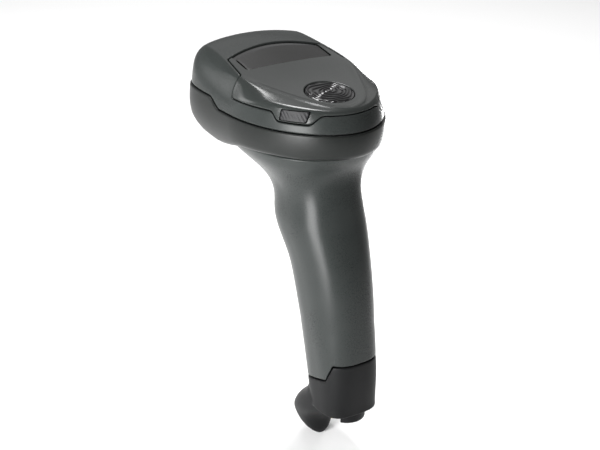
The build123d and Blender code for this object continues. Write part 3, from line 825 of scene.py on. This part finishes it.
def led_point(side):
    """Points near one indicator window: along the flank, up it and out from it."""
    def place(u, v, lift):
        u = np.asarray(u, float)
        v = np.asarray(v, float)
        y = LED_Y + u * 0.9
        z = LED_Z + v
        half, rear = smooth_table(HEAD_LEVELS, z)[[0, 2]]
        share = np.clip(1 - (np.abs(y - HEAD_WIDEST) / (rear - HEAD_WIDEST)) ** TAIL_POWER, 0.01, None)
        x = half * share ** (1 / TAIL_POWER)
        lean = math.radians(LED_LEAN)
        return np.stack([side * (x + lift * math.cos(lean)), y + lift * math.sin(lean), z + 0 * y], axis=-1)
    return place


def flipped(outline, side):
    """Outline in the order that keeps its faces outward on either flank."""
    return outline if side > 0 else outline[::-1]


def indicator_slots(margin, corner):
    """Closed blocks that cut both indicator windows' openings, with a margin round the windows."""
    outline = rounded_outline(LED_HALF + margin, LED_TALL + margin, corner)
    slots = []
    for side in (1, -1):
        place = led_point(side)
        slots.append(plate_piece("slot", flipped(outline, side), lambda u, v, lift: place(
            u, v, lift + SLOT_PROUD), 2 * SLOT_PROUD, CUTTER_LIP, 4))
    return slots


def badge_place(u, v, lift):
    """Points over the badge, whose front edge is a shallow arc."""
    u = np.asarray(u, float)
    v = np.asarray(v, float)
    share = (v / BADGE_HALF_LONG + 1) / 2
    y = BADGE_MIDDLE + v + (BADGE_CORNER_Y - BADGE_FRONT) * (u / BADGE_HALF) ** 2 * (1 - share)
    return np.stack([u, y, roof_height(u, y) + lift], axis=-1)


def rim_relief(sizes):
    """Raised bead along the rim of the cover's flat top."""
    corners = np.array(RIM_CORNERS)
    fine = np.linspace(0, len(corners) - 1, 200)
    knots = np.arange(len(corners), dtype=float)
    x, y = smooth_table(np.column_stack([knots, corners]).tolist(), fine)
    bead = sizes.rim_height / MM

    def relief(px, py):
        shape = px.shape
        flat_x = np.abs(px).ravel()
        flat_y = py.ravel()
        near = np.full(flat_x.shape, 1e9)
        for rim_x, rim_y in zip(x, y):
            near = np.minimum(near, np.hypot(flat_x - rim_x, flat_y - rim_y))
        fade = smooth_step(*RIM_FADE, flat_y)
        return (bead * np.exp(-(near / RIM_WIDTH) ** 2) * fade).reshape(shape)
    return relief


class ScannerSizes(bpy.types.PropertyGroup):
    """Sizes that shape the looks."""

    lip: FloatProperty(name="Lip radius", description="Rounding of the shells' edges",
                       default=0.0006, unit="LENGTH")
    gap: FloatProperty(name="Seam gap", description="Half the visible gap between two covers",
                       default=0.00022, unit="LENGTH")
    rim_height: FloatProperty(name="Rim height", description="Height of the bead round the cover's flat top",
                              default=0.00035, unit="LENGTH")
    pocket: FloatProperty(name="Badge pocket", description="Depth of the badge's pocket",
                          default=0.0009, unit="LENGTH")
    # The strip is the near-black bed left showing in front of the badge plate: painted shade.
    badge_shade_strip: FloatProperty(name="Badge strip", description="Dark strip left in front of the badge plate",
                               default=0.0036, unit="LENGTH")
    ridge_pitch: FloatProperty(name="Ridge pitch", description="Distance between the grille's ridges",
                               default=0.0017, unit="LENGTH")
    ridge_height: FloatProperty(name="Ridge height", description="Height of the grille's ridges",
                                default=0.0005, unit="LENGTH")
    lens_length: FloatProperty(name="Camera lens", description="Focal length of the camera, in millimetres",
                               default=72.0)
    view_distance: FloatProperty(name="View distance", description="From the camera to the scanner's middle",
                                 default=0.575, unit="LENGTH")


class ScannerColours(bpy.types.PropertyGroup):
    """Base colours of the visible finishes."""

    housing: FloatVectorProperty(name="Housing", description="Grip and upper housing", subtype="COLOR",
                                 default=(0.0200, 0.0227, 0.0219))
    cover: FloatVectorProperty(name="Top cover", description="Glossier cover over the rear", subtype="COLOR",
                               default=(0.0180, 0.0205, 0.0195))
    band: FloatVectorProperty(name="Band", description="Dark lower housing round the head", subtype="COLOR",
                              default=(0.0066, 0.0077, 0.0071))
    door: FloatVectorProperty(name="Battery door", description="Door, foot and lock", subtype="COLOR",
                              default=(0.0055, 0.0057, 0.0060))
    badge: FloatVectorProperty(name="Badge", description="Blank badge plate", subtype="COLOR",
                               default=(0.0075, 0.0073, 0.0070))
    grille: FloatVectorProperty(name="Grille", description="Ridged sounder grille", subtype="COLOR",
                                default=(0.0035, 0.0035, 0.0040))
    indicator: FloatVectorProperty(name="Indicator", description="Indicator windows", subtype="COLOR",
                                   default=(0.008, 0.008, 0.009))
    floor: FloatVectorProperty(name="Floor", description="Paper floor", subtype="COLOR",
                                  default=(0.93, 0.93, 0.93))


class SCANNER_OT_finishes(bpy.types.Operator):
    """Make every finish and put it on the CAD pieces that stay in view"""

    bl_idname = "scanner.finishes"
    bl_label = "Finishes"

    def execute(self, context):
        MADE["finishes"] = finishes(context.scene.scanner_colours)
        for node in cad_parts.values():
            for slot in node.material_slots:
                slot.material = MADE["finishes"][slot.material.name.split(".")[0]]
        return {"FINISHED"}


class SCANNER_OT_upper_housing(bpy.types.Operator):
    """Grey shell round the nose and flanks, with openings for the indicator windows"""

    bl_idname = "scanner.upper_housing"
    bl_label = "Upper housing"

    def execute(self, context):
        sizes = context.scene.scanner_sizes
        sheet, angles, edge = head_parts()
        y = GRILLE_Y + wall_reach(angles, np.full(angles.shape, WALL_LEVEL)) * np.sin(angles)
        seam = sheet.crossing(sheet.lines[..., 2] - seam_height(y)[None, :] - SEAM_HALF)
        shell = wall_piece("upper_shell", sheet, seam, edge - sizes.gap / MM, 60, sizes.lip / MM, WALL)
        dress(shade(cut(shell, *indicator_slots(0.4, 0.8))), "scanner", "housing", "upper_housing")
        return {"FINISHED"}


class SCANNER_OT_top_cover(bpy.types.Operator):
    """Glossy cover over the rear of the head, with its rim, badge pocket and window openings"""

    bl_idname = "scanner.top_cover"
    bl_label = "Top cover"

    def execute(self, context):
        sizes = context.scene.scanner_sizes
        sheet, _, edge = head_parts()
        start = edge + sizes.gap / MM
        end = sheet.long - 0.2
        relief = rim_relief(sizes)
        cover = wall_piece("cover_shell", sheet, start, end, 140, sizes.lip / MM, COVER_WALL, relief)
        cutters = indicator_slots(0.3, 0.7)
        over = 4.0
        outline = rounded_outline(BADGE_HALF, BADGE_HALF_LONG, 1.6)
        cutters.append(plate_piece("pocket", outline, lambda u, v, lift: badge_place(u, v, lift + over),
                                   sizes.pocket / MM + over, CUTTER_LIP, 8))
        dress(shade(cut(cover, *cutters)), "scanner", "cover", "top_cover")
        return {"FINISHED"}


class SCANNER_OT_badge(bpy.types.Operator):
    """Blank badge plate in its pocket, on a near-black bed whose rim round the plate and strip in front of it
    are painted shade of the groove round the badge.
    """

    bl_idname = "scanner.badge"
    bl_label = "Badge"

    def execute(self, context):
        sizes = context.scene.scanner_sizes
        play = 0.15
        sunk = sizes.pocket / MM - play
        outline = rounded_outline(BADGE_HALF - play, BADGE_HALF_LONG - play, 1.5)
        # The pocket's floor is a near-black bed in the grille's finish; its rim round the plate and the strip
        # in front of it are painted shade of the groove.
        painted_shade_bed = plate_piece("badge_painted_shade_bed", outline, lambda u, v, lift: badge_place(u, v, lift - sunk),
                          0.5, 0.1, 14)
        dress(shade(painted_shade_bed), "scanner", "grille")
        shift = sizes.badge_shade_strip / MM / 2
        outline = rounded_outline(BADGE_HALF - 0.9, BADGE_HALF_LONG - shift - 0.35, 1.2)
        plate = plate_piece("badge_face", outline, lambda u, v, lift: badge_place(u, v + shift, lift - 0.2),
                            0.6, 0.25, 14)
        dress(shade(plate), "scanner", "badge", "badge_plate")
        return {"FINISHED"}


class SCANNER_OT_grille(bpy.types.Operator):
    """Sounder grille with wandering concentric ridges"""

    bl_idname = "scanner.grille"
    bl_label = "Grille"

    def execute(self, context):
        sizes = context.scene.scanner_sizes
        pitch = sizes.ridge_pitch / MM
        height = sizes.ridge_height / MM
        columns = 180
        radii = np.linspace(0.05, GRILLE_RADIUS - 0.15, 130)[::-1]
        turn = np.linspace(0, 2 * math.pi, columns, endpoint=False)
        far, angle = np.meshgrid(radii, turn, indexing="ij")
        x = far * np.cos(angle)
        y = far * np.sin(angle)
        bent = np.hypot(x * 0.82, y + 1.4) + 0.5 * np.sin(0.55 * x + 0.9) + 0.35 * np.sin(0.8 * y - 0.5 * x)
        ridge = np.abs(np.sin(math.pi * bent / pitch)) ** 0.7
        rim = smooth_step(GRILLE_RADIUS - 1.2, GRILLE_RADIUS - 0.3, far)
        lift = (ridge - 0.75) * height * (1 - 0.5 * rim) - 0.35 * rim
        surface = roof_height(x, GRILLE_Y + y)
        rows = np.stack([x, GRILLE_Y + y, surface + lift], axis=-1)
        base = rows[:1] - np.array([0, 0, 2.2])
        points = np.concatenate([base, rows]).reshape(-1, 3)
        points = np.concatenate([points, rows[-1:].mean(axis=1), base.mean(axis=1)])
        grille = mesh_piece("grille_ridges", points, fanned_faces(len(radii) + 1, columns))
        dress(shade(grille, 80), "scanner", "grille", "beeper_grille")
        return {"FINISHED"}


class SCANNER_OT_band(bpy.types.Operator):
    """Dark lower housing with the opening for the nose window"""

    bl_idname = "scanner.band"
    bl_label = "Dark band"

    def execute(self, context):
        sizes = context.scene.scanner_sizes
        sheet = band_sheet(head_parts()[1])
        band = wall_piece("band_shell", sheet, sheet.long * 0, sheet.long, 90, sizes.lip / MM, BAND_WALL)
        window = plate_piece("opening", rounded_outline(*WINDOW_OPENING), lambda u, v, lift: np.stack(
            [u, WINDOW_BACK_Y - lift + 0 * u, WINDOW_Z + v], axis=-1), 20, CUTTER_LIP, 4)
        dress(shade(cut(band, window)), "scanner", "band", "lower_housing")
        return {"FINISHED"}


class SCANNER_OT_grip(bpy.types.Operator):
    """Grey grip that flares out under the head, with the trigger's slot"""

    bl_idname = "scanner.grip"
    bl_label = "Grip"

    def execute(self, context):
        sizes = context.scene.scanner_sizes
        sheet = grip_sheet(GRIP_COLUMNS)
        grip = wall_piece("grip_shell", sheet, sheet.long * 0, sheet.long, 120, sizes.lip / MM, GRIP_WALL)
        slot = plate_piece("slot", rounded_outline(*TRIGGER_SLOT), lambda u, v, lift: np.stack(
            [u, TRIGGER_SLOT_Y - lift + 0 * u, TRIGGER_SLOT_Z + v], axis=-1), 50, CUTTER_LIP, 4)
        dress(shade(cut(grip, slot)), "scanner", "housing", "grip_housing")
        return {"FINISHED"}


class SCANNER_OT_moving_parts(bpy.types.Operator):
    """Trigger, battery door with its foot, and the quarter-turn lock"""

    bl_idname = "scanner.moving_parts"
    bl_label = "Moving parts"

    def execute(self, context):
        trigger = softened_copy("trigger", "trigger_blade", 0.35, 4)
        dress(trigger, "trigger_body", "housing", "trigger")
        door = softened_copy("battery_door", "door_and_foot", 0.45, 8)
        dress(door, "door_body", "black", "battery_door")
        lock = softened_copy("lock_knob", "lock_grip", 0.3, 4)
        dress(lock, "lock_body", "black", "lock_knob")
        return {"FINISHED"}


class SCANNER_OT_indicators(bpy.types.Operator):
    """Faceted indicator windows on both flanks"""

    bl_idname = "scanner.indicators"
    bl_label = "Indicator windows"

    def execute(self, context):
        outline = rounded_outline(LED_HALF, LED_TALL, 0.6)

        def facets(u, v):
            return 0.14 * np.abs(((np.asarray(u) * 0.9 + np.asarray(v) * 0.7) % 1.4) - 0.7)

        for side, label in ((1, "left"), (-1, "right")):
            window = plate_piece(f"indicator_{label}", flipped(outline, side), led_point(side),
                                 3.0, 0.3, 16, facets)
            dress(shade(window, 20), "scanner", "clear", f"led_window_{label}")
        return {"FINISHED"}


class SCANNER_OT_studio(bpy.types.Operator):
    """Pale floor, soft lights and the camera"""

    bl_idname = "scanner.studio"
    bl_label = "Studio"

    def execute(self, context):
        sizes = context.scene.scanner_sizes
        colours = context.scene.scanner_colours
        self.floor(colours)
        self.world()
        target = Vector(VIEW_TARGET)
        for name, azimuth, far, height, wide, tall, power in SOFTBOXES:
            a = math.radians(azimuth)
            place = Vector((far * math.sin(a), -far * math.cos(a), height))
            self.softbox(name, place, target, wide, tall, power)
        back = Vector(VIEW_BACK).normalized()
        camera = bpy.data.objects.new("camera", bpy.data.cameras.new("camera"))
        context.scene.collection.objects.link(camera)
        camera.data.lens = sizes.lens_length
        camera.data.sensor_width = SENSOR_WIDTH
        camera.location = target + back * sizes.view_distance
        camera.rotation_mode = "QUATERNION"
        camera.rotation_quaternion = (-back).to_track_quat("-Z", "Y")
        camera.data.clip_start = 0.01
        context.scene.camera = camera
        context.scene.view_settings.view_transform = "Standard"
        return {"FINISHED"}

    @staticmethod
    def floor(colours):
        """Wide flat sheet of pale paper under the scanner."""
        finish = Finish("studio_paper")
        fibre = finish.noise(300.0, 3.0)
        finish.fill(finish.shader, {
            "Base Color": finish.mixed(fibre, shaded(colours.floor, 0.99), shaded(colours.floor, 1.0)),
            "Roughness": 0.9,
            "Specular IOR Level": 0.0,
        })
        count = FLOOR_STEPS + 1
        places = [FLOOR_HALF * (2 * i / FLOOR_STEPS - 1) for i in range(count)]
        points = [(x, y, -FLOOR_DROP) for y in places for x in places]
        corners = [row * count + i for row in range(FLOOR_STEPS) for i in range(FLOOR_STEPS)]
        faces = [(first, first + 1, first + count + 1, first + count) for first in corners]
        mesh = bpy.data.meshes.new("studio_floor")
        mesh.from_pydata(points, [], faces)
        mesh.materials.append(finish.material)
        floor = bpy.data.objects.new("studio_floor", mesh)
        bpy.context.scene.collection.objects.link(floor)

    @staticmethod
    def world():
        """Even pale surroundings."""
        world = bpy.data.worlds.new("studio_air")
        world.use_nodes = True
        world.node_tree.nodes["Background"].inputs[0].default_value = (1.0, 1.0, 1.0, 1.0)
        world.node_tree.nodes["Background"].inputs[1].default_value = AIR_STRENGTH
        bpy.context.scene.world = world

    @staticmethod
    def softbox(name, place, target, wide, tall, power):
        """One soft rectangular light aimed at the scanner."""
        light = bpy.data.lights.new(name, "AREA")
        light.shape = "RECTANGLE"
        light.size = wide
        light.size_y = tall
        light.energy = power
        holder = bpy.data.objects.new(name, light)
        bpy.context.scene.collection.objects.link(holder)
        holder.location = place
        holder.visible_camera = False
        holder.rotation_mode = "QUATERNION"
        holder.rotation_quaternion = (target - Vector(place)).to_track_quat("-Z", "Y")


STEPS = [
    SCANNER_OT_finishes,
    SCANNER_OT_upper_housing,
    SCANNER_OT_top_cover,
    SCANNER_OT_badge,
    SCANNER_OT_grille,
    SCANNER_OT_band,
    SCANNER_OT_grip,
    SCANNER_OT_moving_parts,
    SCANNER_OT_indicators,
    SCANNER_OT_studio,
]


class SCANNER_PT_panel(bpy.types.Panel):
    """Lists the scanner's pieces in the order they are built"""

    bl_label = "Barcode scanner"
    bl_space_type = "VIEW_3D"
    bl_region_type = "UI"
    bl_category = "Scanner"

    def draw(self, context):
        for step in STEPS:
            self.layout.operator(step.bl_idname)
        for group in (context.scene.scanner_sizes, context.scene.scanner_colours):
            for name in group.__annotations__:
                self.layout.prop(group, name)


CLASSES = [ScannerSizes, ScannerColours, *STEPS, SCANNER_PT_panel]


def register():
    """Add the classes and the scene's settings."""
    for kind in CLASSES:
        bpy.utils.register_class(kind)
    bpy.types.Scene.scanner_sizes = PointerProperty(type=ScannerSizes)
    bpy.types.Scene.scanner_colours = PointerProperty(type=ScannerColours)


def unregister():
    """Take the classes and the settings away again."""
    del bpy.types.Scene.scanner_colours
    del bpy.types.Scene.scanner_sizes
    for kind in reversed(CLASSES):
        bpy.utils.unregister_class(kind)


def main():
    """Build everything in order."""
    register()
    for step in STEPS:
        family, name = step.bl_idname.split(".")
        getattr(getattr(bpy.ops, family), name)()


if __name__ == "__main__":
    main()
